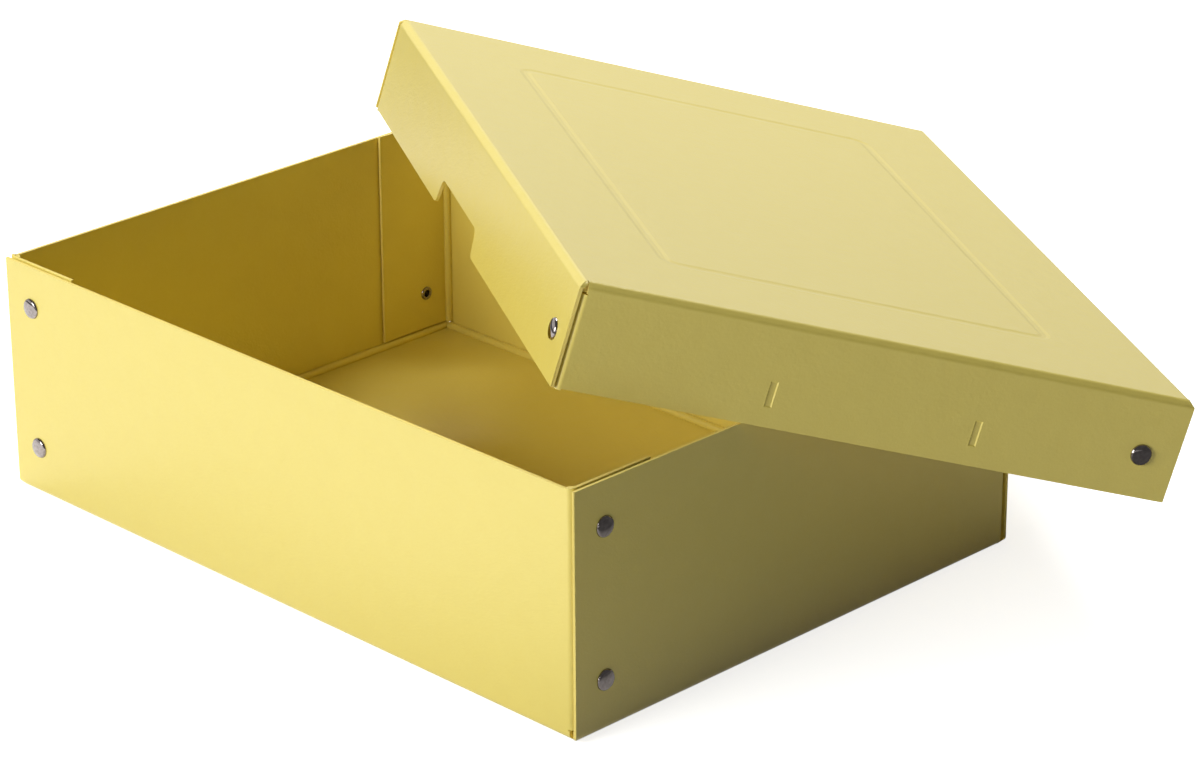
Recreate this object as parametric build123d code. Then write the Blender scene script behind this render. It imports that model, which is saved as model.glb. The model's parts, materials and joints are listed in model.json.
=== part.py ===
from build123d import *
import math
import os

# A document box in two halves, a base and a lift-off lid. Each half is one die-cut blank of solid
# board: a panel, four walls and four corner flaps, folded up and held by tubular rivets.
# Sizes are millimetres. +Z is up and the origin is under the middle of the base.

# Board and folds, alike on both halves
board = 1.3
fold_size = 3
bend_size = 2.4
fold_round = 2.2
bead_radius = 1.7
bead_skin = 0.1
foot_gap = 0.6
lap_gap = 0.4
corner_cut = 0.4
flap_reach = 40
flap_rise = 0.6

# Base
base_length = 325
base_width = 240
base_height = 100
base_rivet_low = 21
base_rivet_drop = 18

# Lid
lid_clearance = 2
lid_height = 41
lid_rivet_drop = 17

# Finger notch in the rim of both long lid walls, a little nearer to the wall's flap than to its raw end
notch_mouth = 66.5
notch_top = 61
notch_depth = 10.8
notch_corner = 4
notch_rim_corner = 3
notch_shift = 6

# Frame line pressed into the lid's panel
frame_inset = 45
frame_corner = 6
frame_tool_radius = 13
frame_depth = 0.25

# Two upright marks pressed into the lid's front wall, which part it into three equal fields
mark_width = 3.1
mark_height = 10.2
mark_slope = 0.5
mark_from_rim = 12.8
mark_depth = 0.4
mark_place_shares = (-1 / 6, 1 / 6)

# Rivets
rivet_inset = 15
head_diameter = 8.5
head_height = 1.6
head_edge_share = 0.7
shank_diameter = 4
bore_diameter = 2.8
bore_stop = 0.3
end_diameter = 6
end_height = 0.9
hole_clearance = 0.1

# How the lid lies on the open base
rest_gap = 0.3
back_cross = 33.6
lid_overlap = 75
lid_twist = 3.54

# Cuts run this far past the faces that they open
cut_overrun = 5

# Sizes that follow from those above. A fold's flat and its bead are as far from one of the two faces
# that the fold joins as from the other.
diagonal = math.sqrt(2)
flat_shift = fold_round * (diagonal - 1)
end_cut = fold_size - flat_shift
bead_lift = (bead_radius + bead_skin) / diagonal
foot_bead_in = end_cut / 2 + bead_lift
corner_bead_in = (bend_size - flat_shift) / 2 + bead_lift
flap_foot = foot_bead_in + bead_radius + foot_gap
tab_top = flap_foot - corner_cut
grip = 2 * board + lap_gap
lid_length = base_length + 2 * (lid_clearance + board)
lid_width = base_width + 2 * (lid_clearance + board)
lid_depth = lid_height - board
lid_inside = lid_length - 2 * board
base_rivet_levels = {"_low": base_rivet_low, "_high": base_height - base_rivet_drop}
lid_rivet_levels = {"": lid_height - lid_rivet_drop}

# Walls follow each other anticlockwise, seen into the open side, and the first of them faces -Y.
# The lid's sides are named as they lie, seen from the lid's front.
base_sides = ("front", "right", "back", "left")
lid_sides = ("left", "back", "right", "front")


def block(x0, x1, y0, y1, z0, z1):
    corner = (Align.MIN, Align.MIN, Align.MIN)
    return Pos(x0, y0, z0) * Box(x1 - x0, y1 - y0, z1 - z0, align=corner)


def rod(start, end, radius):
    axis = end - start
    return Plane(origin=start, z_dir=axis) * extrude(Circle(radius), axis.length)


def wall_sizes(length, width, wall):
    # How long a wall is, and how far apart it and the wall across from it stand
    if wall % 2 == 0:
        return length, width
    return width, length


def turned(wall):
    return Rot(0, 0, 90 * wall)


def arc(middle_x, middle_y, radius, start, end):
    # Angles are measured from +Y towards +X
    points = []
    for angle in (start, (start + end) / 2, end):
        points.append((middle_x + radius * math.sin(angle), middle_y + radius * math.cos(angle)))
    return ThreePointArc(*points)


def fold_section(size):
    # Scored board folds in two tight turns with a flat strip between them. The two outer faces that the
    # fold joins would meet at the origin.
    down, between, left = math.pi, math.pi * 5 / 4, math.pi * 3 / 2
    inside = fold_round - board
    outer_low = arc(size, fold_round, fold_round, down, between)
    outer_high = arc(fold_round, size, fold_round, between, left)
    inner_low = arc(size, fold_round, inside, down, between)
    inner_high = arc(fold_round, size, inside, between, left)
    outline = [
        outer_low,
        Line(outer_low @ 1, outer_high @ 0),
        outer_high,
        Line(outer_high @ 1, inner_high @ 1),
        inner_high,
        Line(inner_high @ 0, inner_low @ 1),
        inner_low,
        Line(inner_low @ 0, outer_low @ 0),
    ]
    return make_face(outline)


def raw_end_cut(start, outer):
    # The raw end of a wall's fold is cut aslant, level with the flat of the fold before it
    corner = Polygon((0, 0), (end_cut, 0), (0, end_cut), align=None)
    return extrude(Plane(origin=(start, outer, 0), x_dir=(1, 0, 0), z_dir=(0, -1, 0)) * corner, -fold_size)


def folded_wall(along, across, height):
    # The wall that faces -Y. Its flap bends in behind the next wall, and the far end is a raw edge.
    outer = -across / 2
    start = -along / 2
    flap_x = along / 2 - board - lap_gap
    bend_x = flap_x - bend_size
    flap_top = height + flap_rise

    # Below the bend, the wall's foot runs on as a tab, up to a cut beside the next wall's fold
    tab_x = along / 2 - fold_size - corner_cut
    panel = block(start, bend_x, outer, outer + board, fold_size, height)
    tab = block(bend_x, tab_x, outer, outer + board, fold_size, tab_top)
    crease_plane = Plane(origin=(start, outer, 0), x_dir=(0, 1, 0), z_dir=(1, 0, 0))
    crease = extrude(crease_plane * fold_section(fold_size), tab_x - start)
    crease -= raw_end_cut(start, outer)
    bend_place = Pos(flap_x, outer, flap_foot) * Rot(0, 0, 90)
    bend = extrude(bend_place * fold_section(bend_size), flap_top - flap_foot)
    flap = block(flap_x - board, flap_x, outer + bend_size, outer + flap_reach, flap_foot, flap_top)

    # Folding squeezes the board into a bead along the inside of each fold
    foot_y = outer + foot_bead_in
    foot_start = Vector(start + board + corner_cut, foot_y, foot_bead_in)
    foot_bead = rod(foot_start, Vector(bend_x, foot_y, foot_bead_in), bead_radius)
    bead_x = flap_x - corner_bead_in
    bead_y = outer + corner_bead_in
    corner_bead = rod(Vector(bead_x, bead_y, flap_foot), Vector(bead_x, bead_y, height), bead_radius)
    return panel + tab + crease + bend + flap + foot_bead + corner_bead


def rivet_seats(half, sides, length, width, levels):
    # Rivets go in at the raw end of each wall, through the flap behind it
    seats = {}
    for wall, side in enumerate(sides):
        along, across = wall_sizes(length, width, wall)
        for level, z in levels.items():
            seat = Pos(rivet_inset - along / 2, -across / 2, z) * Rot(90, 0, 0)
            seats[f"{half}_rivet_{side}{level}"] = turned(wall) * seat
    return seats


def folded_half(length, width, height, seats):
    # A whole blank, open side up, with its holes
    half_x = length / 2 - fold_size
    half_y = width / 2 - fold_size
    blank = block(-half_x, half_x, -half_y, half_y, 0, board)
    for wall in range(len(base_sides)):
        along, across = wall_sizes(length, width, wall)
        blank += turned(wall) * folded_wall(along, across, height)
    hole_radius = shank_diameter / 2 + hole_clearance
    hole = rod(Vector(0, 0, cut_overrun), Vector(0, 0, -grip - cut_overrun), hole_radius)
    for seat in seats:
        blank -= seat * hole
    return blank


def rivet():
    # Domed head on the outside, shank through wall and flap, hollow end rolled over on the inside.
    # The head's seat is at zero, and the axis points out of the wall.
    head_radius = head_diameter / 2
    shank_radius = shank_diameter / 2
    bore_radius = bore_diameter / 2
    end_radius = end_diameter / 2

    # A shallow crown runs smoothly into the rounded edge of the head. The outline's Y is the rivet's axis.
    edge_radius = head_edge_share * head_height
    edge_x = head_radius - edge_radius
    crown_radius = (edge_x**2 + head_height**2 - edge_radius**2) / (2 * (head_height - edge_radius))
    crown_z = head_height - crown_radius
    meet = math.atan2(edge_x, -crown_z)
    crown = arc(0, crown_z, crown_radius, 0, meet)
    edge = arc(edge_x, 0, edge_radius, meet, math.pi / 2)

    roll_middle = (bore_radius + end_radius) / 2
    roll = ThreePointArc((end_radius, -grip), (roll_middle, -grip - end_height), (bore_radius, -grip))
    seats = Polyline((head_radius, 0), (shank_radius, 0), (shank_radius, -grip), (end_radius, -grip))
    bore = Polyline((bore_radius, -grip), (bore_radius, -bore_stop), (0, -bore_stop), (0, head_height))
    outline = [crown, edge, *seats.edges(), roll, *bore.edges()]
    return revolve(Plane.XZ * make_face(outline), Axis.Z)


def finger_notch(across):
    # The outline's Y points down the wall as the lid is folded, from its rim to its panel
    side = notch_mouth / 2 + cut_overrun
    outline = Polyline(
        (-side, -cut_overrun),
        (-side, 0),
        (-notch_mouth / 2, 0),
        (-notch_top / 2, notch_depth),
        (notch_top / 2, notch_depth),
        (notch_mouth / 2, 0),
        (side, 0),
        (side, -cut_overrun),
        close=True,
    )
    opening = make_face(outline)
    opening = fillet(opening.vertices().group_by(Axis.Y)[-1], notch_corner)
    rim_corners = opening.vertices().filter_by_position(Axis.Y, 0, 0).sort_by(Axis.X)[1:-1]
    opening = fillet(rim_corners, notch_rim_corner)
    rim = (notch_shift, -across / 2 - cut_overrun, lid_height)
    outside = Plane(origin=rim, x_dir=(1, 0, 0), z_dir=(0, 1, 0))
    return extrude(outside * opening, board + 2 * cut_overrun)


def frame_line():
    # The pressing tool has a round edge, and only its tip sinks into the panel
    line_length = lid_length - 2 * frame_inset
    line_width = lid_width - 2 * frame_inset
    route = RectangleRounded(line_length, line_width, frame_corner).wire()
    tool = Pos(frame_depth - frame_tool_radius, 0) * Circle(frame_tool_radius)
    tip = tool & Rectangle(2 * frame_depth, 2 * frame_tool_radius)
    return sweep(Plane(origin=route @ 0, x_dir=(0, 0, 1), z_dir=route % 0) * tip, path=route)


def field_mark(place, across):
    # A trough with sloping sides, cut from one depth outside the wall to one depth into it
    middle = (place, -across / 2, lid_height - mark_from_rim)
    wall = Plane(origin=middle, x_dir=(1, 0, 0), z_dir=(0, 1, 0))
    mouth = Rectangle(mark_width + 2 * mark_slope, mark_height + 2 * mark_slope)
    foot = Rectangle(mark_width - 2 * mark_slope, mark_height - 2 * mark_slope)
    return loft([wall * Pos(0, 0, -mark_depth) * mouth, wall * Pos(0, 0, mark_depth) * foot])


def lid_blank(seats):
    # Open side up, as folded
    blank = folded_half(lid_length, lid_width, lid_height, seats)
    blank -= frame_line()
    for side in ("left", "right"):
        blank -= turned(lid_sides.index(side)) * finger_notch(lid_width)
    for share in mark_place_shares:
        blank -= turned(lid_sides.index("front")) * field_mark(share * lid_width, lid_length)
    return blank


def lid_rest():
    # The lid lies aslant on three points of the base: its front rim on the right wall, its back rim on
    # the back wall, and the underside of its panel on the corner between those walls. Both rims touch
    # with their inner edges, so the contacts lie one inside length of the lid apart, but for the twist.
    twist = math.radians(lid_twist)
    back_run = base_length - back_cross
    right_run = math.sqrt((lid_inside / math.cos(twist)) ** 2 - back_run**2)
    right_contact = Vector(base_length / 2, base_width / 2 - right_run, base_height)
    back_contact = Vector(base_length / 2 - back_run, base_width / 2, base_height)

    # The corner stands one inside depth above the plane of the lid's rims
    lean_x = lid_depth / back_run
    lean_y = lid_depth / right_run
    up = Vector(lean_x, lean_y, math.sqrt(1 - lean_x**2 - lean_y**2))
    span = (back_contact - right_contact).normalized()
    long_axis = span * math.cos(twist) - up.cross(span) * math.sin(twist)
    short_axis = long_axis.cross(up)
    rim_middle = right_contact + short_axis * (lid_width / 2 - lid_overlap) + long_axis * (lid_inside / 2)
    panel_middle = rim_middle + up * lid_height + Vector(0, 0, rest_gap)
    return Plane(origin=panel_middle, x_dir=long_axis, z_dir=-up).location


base_seats = rivet_seats("base", base_sides, base_length, base_width, base_rivet_levels)
lid_seats = rivet_seats("lid", lid_sides, lid_length, lid_width, lid_rivet_levels)
lid_place = lid_rest()
one_rivet = rivet()

pieces = {}
pieces["base_board"] = folded_half(base_length, base_width, base_height, base_seats.values())
pieces["lid_board"] = lid_place * lid_blank(lid_seats.values())
for name, seat in base_seats.items():
    pieces[name] = seat * one_rivet
for name, seat in lid_seats.items():
    pieces[name] = lid_place * seat * one_rivet

os.makedirs("parts", exist_ok=True)
for name, piece in pieces.items():
    export_step(piece, f"parts/{name}.step")
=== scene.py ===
import json
import math

import bmesh
import bpy
from mathutils import Matrix, Vector
from mathutils.bvhtree import BVHTree

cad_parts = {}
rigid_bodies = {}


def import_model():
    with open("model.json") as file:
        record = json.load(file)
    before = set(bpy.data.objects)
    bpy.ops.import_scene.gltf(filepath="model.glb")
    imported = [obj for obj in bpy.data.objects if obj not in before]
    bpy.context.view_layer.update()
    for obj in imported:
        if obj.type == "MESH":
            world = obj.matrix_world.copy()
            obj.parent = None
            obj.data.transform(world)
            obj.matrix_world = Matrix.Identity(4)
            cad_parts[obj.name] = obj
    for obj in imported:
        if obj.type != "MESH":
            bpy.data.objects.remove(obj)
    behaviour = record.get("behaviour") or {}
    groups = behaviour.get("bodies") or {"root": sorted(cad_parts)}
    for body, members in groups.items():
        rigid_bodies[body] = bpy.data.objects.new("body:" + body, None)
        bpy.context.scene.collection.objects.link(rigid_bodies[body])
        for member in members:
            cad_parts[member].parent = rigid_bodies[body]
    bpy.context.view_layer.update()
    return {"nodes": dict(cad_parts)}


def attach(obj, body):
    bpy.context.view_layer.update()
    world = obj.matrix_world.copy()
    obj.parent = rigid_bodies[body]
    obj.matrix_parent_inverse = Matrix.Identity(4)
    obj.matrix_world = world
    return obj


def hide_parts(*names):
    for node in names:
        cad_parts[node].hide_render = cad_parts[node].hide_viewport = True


for leftover in list(bpy.data.objects):  # start-up cube, lamp and camera
    bpy.data.objects.remove(leftover)
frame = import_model()
print("frame loaded:", len(frame["nodes"]), "nodes")

scene = bpy.context.scene
scene.view_settings.view_transform = "Standard"


# camera

cameraView = {
    "eye": (1.1266, -1.0661, 0.7157),  # metres
    "azimuth": 45.15,  # degrees round the box, 0 looks along +Y
    "elevation": 23.02,
    "roll": -0.28,
    "focalPixels": 4224.3,
    "frameWidth": 1200,
    "sensor": 36.0,
}


def addCamera(view):
    data = bpy.data.cameras.new("photoCamera")
    data.sensor_fit = "HORIZONTAL"
    data.sensor_width = view["sensor"]
    data.lens = view["focalPixels"] * view["sensor"] / view["frameWidth"]
    camera = bpy.data.objects.new("photoCamera", data)
    scene.collection.objects.link(camera)
    turn = Matrix.Rotation(math.radians(view["azimuth"]), 4, "Z")
    tip = Matrix.Rotation(math.radians(90 - view["elevation"]), 4, "X")
    roll = Matrix.Rotation(math.radians(view["roll"]), 4, "Z")
    camera.matrix_world = Matrix.Translation(view["eye"]) @ turn @ tip @ roll
    scene.camera = camera


addCamera(cameraView)
print("camera set")


# shader helpers

def newNode(tree, kind, **settings):
    node = tree.nodes.new(kind)
    for name, value in settings.items():
        setattr(node, name, value)
    return node


def mathNode(tree, operation, first, second):
    node = newNode(tree, "ShaderNodeMath", operation=operation)
    for socket, value in zip(node.inputs, (first, second)):
        if isinstance(value, bpy.types.NodeSocket):
            tree.links.new(value, socket)
        else:
            socket.default_value = value
    return node.outputs[0]


def rangeNode(tree, value, low, high, newLow, newHigh):
    node = newNode(tree, "ShaderNodeMapRange")
    tree.links.new(value, node.inputs["Value"])
    limits = {"From Min": low, "From Max": high, "To Min": newLow, "To Max": newHigh}
    for name, number in limits.items():
        node.inputs[name].default_value = number
    return node.outputs["Result"]


def mixColour(tree, factor, first, second):
    node = newNode(tree, "ShaderNodeMix", data_type="RGBA")
    tree.links.new(factor, node.inputs[0])
    for socket, colour in ((6, first), (7, second)):  # the node's two colour sockets
        node.inputs[socket].default_value = (*colour, 1)
    return node.outputs[2]


def newMaterial(name):
    material = bpy.data.materials.new(name)
    material.use_nodes = True
    return material, material.node_tree, material.node_tree.nodes["Principled BSDF"]


# fibre grain, shared by the board's faces and its cut edges

fibreLayers = {
    "tilts": (0.35, -0.5),  # radians: two layers of fibres lie across each other
    "lean": 0.6,  # tilt about the middle axis against the other two
    "fibreDetail": 3,
    "cloudDetail": 4,
    "spread": (0.3, 0.7),  # noise values that become 0 and 1
}


def fibreGrainGroup(layers):
    group = bpy.data.node_groups.new("fibreGrain", "ShaderNodeTree")
    face = group.interface
    face.new_socket("Vector", in_out="INPUT", socket_type="NodeSocketVector")
    for name, value in (("Fibre Scale", 500.0), ("Fibre Stretch", 6.0), ("Cloud Scale", 120.0)):
        face.new_socket(name, in_out="INPUT", socket_type="NodeSocketFloat").default_value = value
    for name in ("Fibre", "Cloud"):
        face.new_socket(name, in_out="OUTPUT", socket_type="NodeSocketFloat")
    start = newNode(group, "NodeGroupInput")
    end = newNode(group, "NodeGroupOutput")
    fibres = []
    for tilt in layers["tilts"]:
        turn = newNode(group, "ShaderNodeVectorRotate", rotation_type="EULER_XYZ")
        turn.inputs["Rotation"].default_value = (tilt, layers["lean"] * tilt, tilt)
        group.links.new(start.outputs["Vector"], turn.inputs["Vector"])
        stretch = newNode(group, "ShaderNodeCombineXYZ")
        stretch.inputs["X"].default_value = 1
        for axis in ("Y", "Z"):
            group.links.new(start.outputs["Fibre Stretch"], stretch.inputs[axis])
        pull = newNode(group, "ShaderNodeVectorMath", operation="MULTIPLY")
        group.links.new(turn.outputs["Vector"], pull.inputs[0])
        group.links.new(stretch.outputs["Vector"], pull.inputs[1])
        noise = newNode(group, "ShaderNodeTexNoise")
        noise.inputs["Detail"].default_value = layers["fibreDetail"]
        group.links.new(pull.outputs["Vector"], noise.inputs["Vector"])
        group.links.new(start.outputs["Fibre Scale"], noise.inputs["Scale"])
        fibres.append(noise.outputs["Fac"])
    fibre = mathNode(group, "MULTIPLY", mathNode(group, "ADD", *fibres), 0.5)
    group.links.new(rangeNode(group, fibre, *layers["spread"], 0, 1), end.inputs["Fibre"])
    cloud = newNode(group, "ShaderNodeTexNoise")
    cloud.inputs["Detail"].default_value = layers["cloudDetail"]
    group.links.new(start.outputs["Vector"], cloud.inputs["Vector"])
    group.links.new(start.outputs["Cloud Scale"], cloud.inputs["Scale"])
    clouds = rangeNode(group, cloud.outputs["Fac"], *layers["spread"], 0, 1)
    group.links.new(clouds, end.inputs["Cloud"])
    return group


fibreGrain = fibreGrainGroup(fibreLayers)

boardFinish = {
    "dye": (0.85, 0.705, 0.157),
    "specular": 0.9,
    "fibreShade": 0.92,  # darkest fibre against the dye
    "cloudShade": 0.955,
    "roughness": (0.28, 0.36),
    "bumpStrength": 0.45,
    "bumpDistance": 0.0001,
    "cloudBump": 1.6,  # height of the clouds against that of the fibres
    "fibreScale": 150.0,  # per metre, along the fibre
    "fibreStretch": 7.0,
    "cloudScale": 120.0,
}
cutFinish = {
    "dye": (0.92, 0.76, 0.23),
    "specular": 0.3,
    "fibreShade": 0.74,
    "cloudShade": 0.9,
    "roughness": (0.75, 0.95),
    "bumpStrength": 0.5,
    "bumpDistance": 0.00012,
    "cloudBump": 0.5,
    "fibreScale": 650.0,
    "fibreStretch": 3.0,
    "cloudScale": 400.0,
}


def boardMaterial(name, finish):
    material, tree, shader = newMaterial(name)
    place = newNode(tree, "ShaderNodeTexCoord")
    grain = newNode(tree, "ShaderNodeGroup", node_tree=fibreGrain)
    tree.links.new(place.outputs["Object"], grain.inputs["Vector"])
    grain.inputs["Fibre Scale"].default_value = finish["fibreScale"]
    grain.inputs["Fibre Stretch"].default_value = finish["fibreStretch"]
    grain.inputs["Cloud Scale"].default_value = finish["cloudScale"]
    fibre, cloud = grain.outputs["Fibre"], grain.outputs["Cloud"]
    fibreTone = rangeNode(tree, fibre, 0, 1, finish["fibreShade"], 1)
    cloudTone = rangeNode(tree, cloud, 0, 1, finish["cloudShade"], 1)
    tone = mathNode(tree, "MULTIPLY", fibreTone, cloudTone)
    dark = tuple(c * c for c in finish["dye"])  # deeper and warmer, as dye gathers
    tree.links.new(mixColour(tree, tone, dark, finish["dye"]), shader.inputs["Base Color"])
    tree.links.new(rangeNode(tree, fibre, 0, 1, *finish["roughness"]), shader.inputs["Roughness"])
    shader.inputs["Specular IOR Level"].default_value = finish["specular"]
    bump = newNode(tree, "ShaderNodeBump")
    bump.inputs["Strength"].default_value = finish["bumpStrength"]
    bump.inputs["Distance"].default_value = finish["bumpDistance"]
    height = mathNode(tree, "ADD", fibre, mathNode(tree, "MULTIPLY", cloud, finish["cloudBump"]))
    tree.links.new(height, bump.inputs["Height"])
    tree.links.new(bump.outputs["Normal"], shader.inputs["Normal"])
    return material


dyedBoard = boardMaterial("dyedBoard", boardFinish)
cutEdge = boardMaterial("cutEdge", cutFinish)
print("board finishes made")


# helpers for the pieces

mergeDistance = 0.000002  # metres, joins the points that neighbouring faces share


def mergedMesh(node):
    mesh = bmesh.new()
    mesh.from_mesh(frame["nodes"][node].data)
    bmesh.ops.remove_doubles(mesh, verts=mesh.verts, dist=mergeDistance)
    return mesh


def meshData(mesh, name):
    data = bpy.data.meshes.new(name)
    mesh.to_mesh(data)
    mesh.free()
    return data


def addObject(name, data):
    thing = bpy.data.objects.new(name, data)
    scene.collection.objects.link(thing)
    return thing


def weighNormals(piece):
    normals = piece.modifiers.new("faceNormals", "WEIGHTED_NORMAL")
    normals.keep_sharp = True


# boards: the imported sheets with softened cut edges

boardShape = {
    "flatAngle": 0.5,  # degrees, faces nearer than this to one plane are joined
    "edgeRound": 0.00022,
    "edgeSteps": 2,
    "sharpAngle": 50,  # degrees
    "cutDepth": 0.006,  # a face with more board than this behind it is a cut edge
    "cutWidth": 0.0005,
    "probeInset": 0.0003,  # where a face's depth is felt, from its longest edge
    "probeSkin": 0.00001,  # and from just under its surface
    "pressedValley": (1.5, 45),  # degrees between the sides of a pressed line
}


def faceDepth(tree, face, shape):
    loop = max(face.loops, key=lambda l: l.edge.calc_length())
    along = (loop.link_loop_next.vert.co - loop.vert.co).normalized()
    middle = (loop.vert.co + loop.link_loop_next.vert.co) / 2
    inward = face.normal.cross(along)
    point = middle + inward * shape["probeInset"] - face.normal * shape["probeSkin"]
    depth = tree.ray_cast(point, -face.normal)[3]
    return depth or 0


def isCut(tree, face, shape):
    width = 2 * face.calc_area() / face.calc_perimeter()
    return width > shape["cutWidth"] and faceDepth(tree, face, shape) > shape["cutDepth"]


def isPressed(face, shape):
    low, high = (math.radians(angle) for angle in shape["pressedValley"])
    return any(low < -edge.calc_face_angle_signed(0) < high for edge in face.edges)


def softBoard(node, piece, body, shape):
    mesh = mergedMesh(node)
    flat = math.radians(shape["flatAngle"])
    bmesh.ops.dissolve_limit(mesh, angle_limit=flat, verts=mesh.verts, edges=mesh.edges)
    mesh.normal_update()
    solid = BVHTree.FromBMesh(mesh)
    for face in mesh.faces:
        face.material_index = int(isCut(solid, face, shape))
    sharp = math.radians(shape["sharpAngle"])
    rims = []
    for edge in mesh.edges:
        kinds = {face.material_index for face in edge.link_faces}
        if len(kinds) == 2 and edge.calc_face_angle_signed() > sharp:
            rims.append(edge)
    bmesh.ops.bevel(mesh, geom=rims, offset=shape["edgeRound"], offset_type="OFFSET",
                    segments=shape["edgeSteps"], profile=0.5, affect="EDGES", clamp_overlap=True)
    pressed = [isPressed(face, shape) for face in mesh.faces]
    data = meshData(mesh, piece)
    data.set_sharp_from_angle(angle=sharp)
    data.polygons.foreach_set("use_smooth", [not mark for mark in pressed])
    data.materials.append(dyedBoard)
    data.materials.append(cutEdge)
    board = addObject(piece, data)
    weighNormals(board)
    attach(board, body)
    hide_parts(node)
    cuts = sum(p.material_index == 1 for p in data.polygons)
    print(piece, "faces", len(data.polygons), "cut faces", cuts)


softBoard("base_board", "baseBoard", "base", boardShape)
softBoard("lid_board", "lidBoard", "lid", boardShape)


# rivets

nickelFinish = {
    "colour": (0.35, 0.31, 0.3),
    "tarnish": (0.25, 0.22, 0.21),
    "roughness": (0.06, 0.12),
    "smearScale": 900.0,  # per metre
    "smearDetail": 3,
    "smearSpread": (0.35, 0.7),  # noise values from bare plate to full tarnish
    "sharpAngle": 50,  # degrees
}


def nickelMaterial(finish):
    material, tree, shader = newMaterial("nickelPlate")
    place = newNode(tree, "ShaderNodeTexCoord")
    smear = newNode(tree, "ShaderNodeTexNoise")
    smear.inputs["Scale"].default_value = finish["smearScale"]
    smear.inputs["Detail"].default_value = finish["smearDetail"]
    tree.links.new(place.outputs["Object"], smear.inputs["Vector"])
    worn = rangeNode(tree, smear.outputs["Fac"], *finish["smearSpread"], 0, 1)
    plate = mixColour(tree, worn, finish["colour"], finish["tarnish"])
    tree.links.new(plate, shader.inputs["Base Color"])
    tree.links.new(rangeNode(tree, worn, 0, 1, *finish["roughness"]), shader.inputs["Roughness"])
    shader.inputs["Metallic"].default_value = 1
    return material


nickelPlate = nickelMaterial(nickelFinish)


def smoothRivet(node, finish):
    body, *words = node.split("_")
    piece = body + "".join(word.capitalize() for word in words)
    mesh = mergedMesh(node)
    for face in mesh.faces:
        face.smooth = True
    data = meshData(mesh, piece)
    data.set_sharp_from_angle(angle=math.radians(finish["sharpAngle"]))
    data.materials.append(nickelPlate)
    rivet = addObject(piece, data)
    weighNormals(rivet)
    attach(rivet, body)
    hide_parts(node)


rivets = [name for name in frame["nodes"] if "rivet" in name]
for name in rivets:
    smoothRivet(name, nickelFinish)
print("rivets finished:", len(rivets))


# floor, light and backdrop

# In mirrors the floor carries a painted reflection: white round whiteSpot, fading to dark grey
# (mirrorGrey) beyond, while the camera and diffuse light see it evenly pale
floorLook = {
    "radius": 8.0,
    "sides": 96,
    "drop": 0.0002,  # below the box, so that the two never share a plane
    "roughness": 0.9,
    "colour": (0.8, 0.8, 0.8),
    "glow": 0.8,
    "whiteSpot": (-0.4, -0.3, 0.0),
    "fade": (0.42, 0.75),  # metres from the spot, mirrors see white before and dark after
    "mirrorGrey": 0.1,
}
lightAim = Vector((0.03, 0.03, 0.07))
lightSetup = {
    "key": {"from": (-0.13, -0.925, 0.36), "distance": 3.0, "size": 1.2, "power": 62.5},
    "back": {"from": (-0.37, 0.43, 0.82), "distance": 2.4, "size": 1.3, "power": 55},
}
# Backdrop: evenly white to the camera; in mirrors a painted reflection, white up to just above
# the skyline and dark grey above, which lights nothing (diffuse light sees only the dim ambient)
# and gives the lid top its pale sheen
backdrop = {
    "ambient": 0.03,
    "whiteSpot": (-0.314, -0.105, -0.943),  # a direction, nearly straight down
    "fade": (1.52, 1.62),  # so that mirrors see white up to the skyline and dark above
    "mirrorGrey": 0.1,
}


# painted reflection mask: 1 near the white spot, falling to mirrorGrey beyond the fade
def mirrorSpot(tree, place, look):
    away = newNode(tree, "ShaderNodeVectorMath", operation="DISTANCE")
    away.inputs[1].default_value = look["whiteSpot"]
    tree.links.new(place, away.inputs[0])
    return rangeNode(tree, away.outputs["Value"], *look["fade"], 1, look["mirrorGrey"])


def whiteShare(tree, ray, spot):
    # white to the camera and through glass, and in mirrors only round the spot: a painted
    # reflection
    direct, through = ray.outputs["Is Camera Ray"], ray.outputs["Is Transmission Ray"]
    seen = mathNode(tree, "MAXIMUM", direct, through)
    mirrored = mathNode(tree, "MULTIPLY", ray.outputs["Is Glossy Ray"], spot)
    return mathNode(tree, "MAXIMUM", seen, mirrored)


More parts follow.
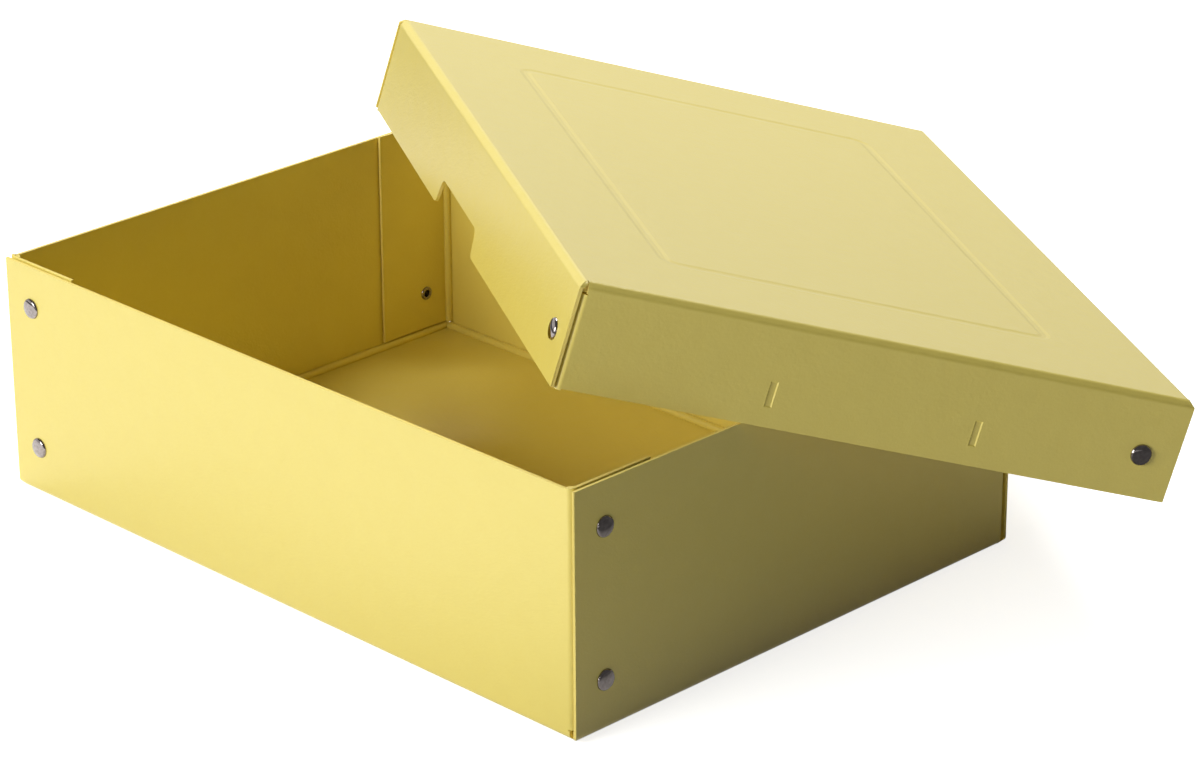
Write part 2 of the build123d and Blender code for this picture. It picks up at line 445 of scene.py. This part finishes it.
def addFloor(look):
    mesh = bmesh.new()
    bmesh.ops.create_circle(mesh, cap_ends=True, segments=look["sides"], radius=look["radius"])
    data = meshData(mesh, "floor")
    floor = addObject("floor", data)
    floor.location.z = -look["drop"]
    material, tree, shader = newMaterial("paleFloor")
    shader.inputs["Roughness"].default_value = look["roughness"]
    shader.inputs["Specular IOR Level"].default_value = 0
    shader.inputs["Emission Color"].default_value = (1, 1, 1, 1)
    place = newNode(tree, "ShaderNodeTexCoord")
    ray = newNode(tree, "ShaderNodeLightPath")
    spot = mirrorSpot(tree, place.outputs["Object"], look)
    direct = mathNode(tree, "SUBTRACT", 1, ray.outputs["Is Glossy Ray"])
    # painted reflection and painted shade: for glossy rays the floor keeps its colour only round
    # the spot and goes dark beyond it
    pale = mathNode(tree, "MAXIMUM", direct, spot)  # dark in mirrors away from the spot
    tree.links.new(mixColour(tree, pale, (0, 0, 0), look["colour"]), shader.inputs["Base Color"])
    glow = mathNode(tree, "MULTIPLY", whiteShare(tree, ray, spot), look["glow"])
    tree.links.new(glow, shader.inputs["Emission Strength"])
    data.materials.append(material)


def addLight(name, setup):
    data = bpy.data.lights.new(name, "AREA")
    data.shape = "SQUARE"
    data.size = setup["size"]
    data.energy = setup["power"]
    light = addObject(name, data)
    away = Vector(setup["from"]).normalized()
    light.location = lightAim + away * setup["distance"]
    light.rotation_euler = away.to_track_quat("Z", "Y").to_euler()


def addBackdrop(look):
    world = bpy.data.worlds.new("studio")
    scene.world = world
    world.use_nodes = True
    tree = world.node_tree
    tree.nodes.clear()
    place = newNode(tree, "ShaderNodeTexCoord")
    ray = newNode(tree, "ShaderNodeLightPath")
    # painted reflection: mirrors see white only within the fade round the downward spot
    white = whiteShare(tree, ray, mirrorSpot(tree, place.outputs["Generated"], look))
    ambient = newNode(tree, "ShaderNodeBackground")
    ambient.inputs["Strength"].default_value = look["ambient"]
    bright = newNode(tree, "ShaderNodeBackground")
    bright.inputs["Strength"].default_value = 1
    for light in (ambient, bright):
        light.inputs["Color"].default_value = (1, 1, 1, 1)
    mix = newNode(tree, "ShaderNodeMixShader")
    tree.links.new(white, mix.inputs[0])
    tree.links.new(ambient.outputs[0], mix.inputs[1])
    tree.links.new(bright.outputs[0], mix.inputs[2])
    out = newNode(tree, "ShaderNodeOutputWorld")
    tree.links.new(mix.outputs[0], out.inputs["Surface"])


addFloor(floorLook)
for name, setup in lightSetup.items():
    addLight(name + "Light", setup)
addBackdrop(backdrop)
print("studio set")

bpy.context.view_layer.update()
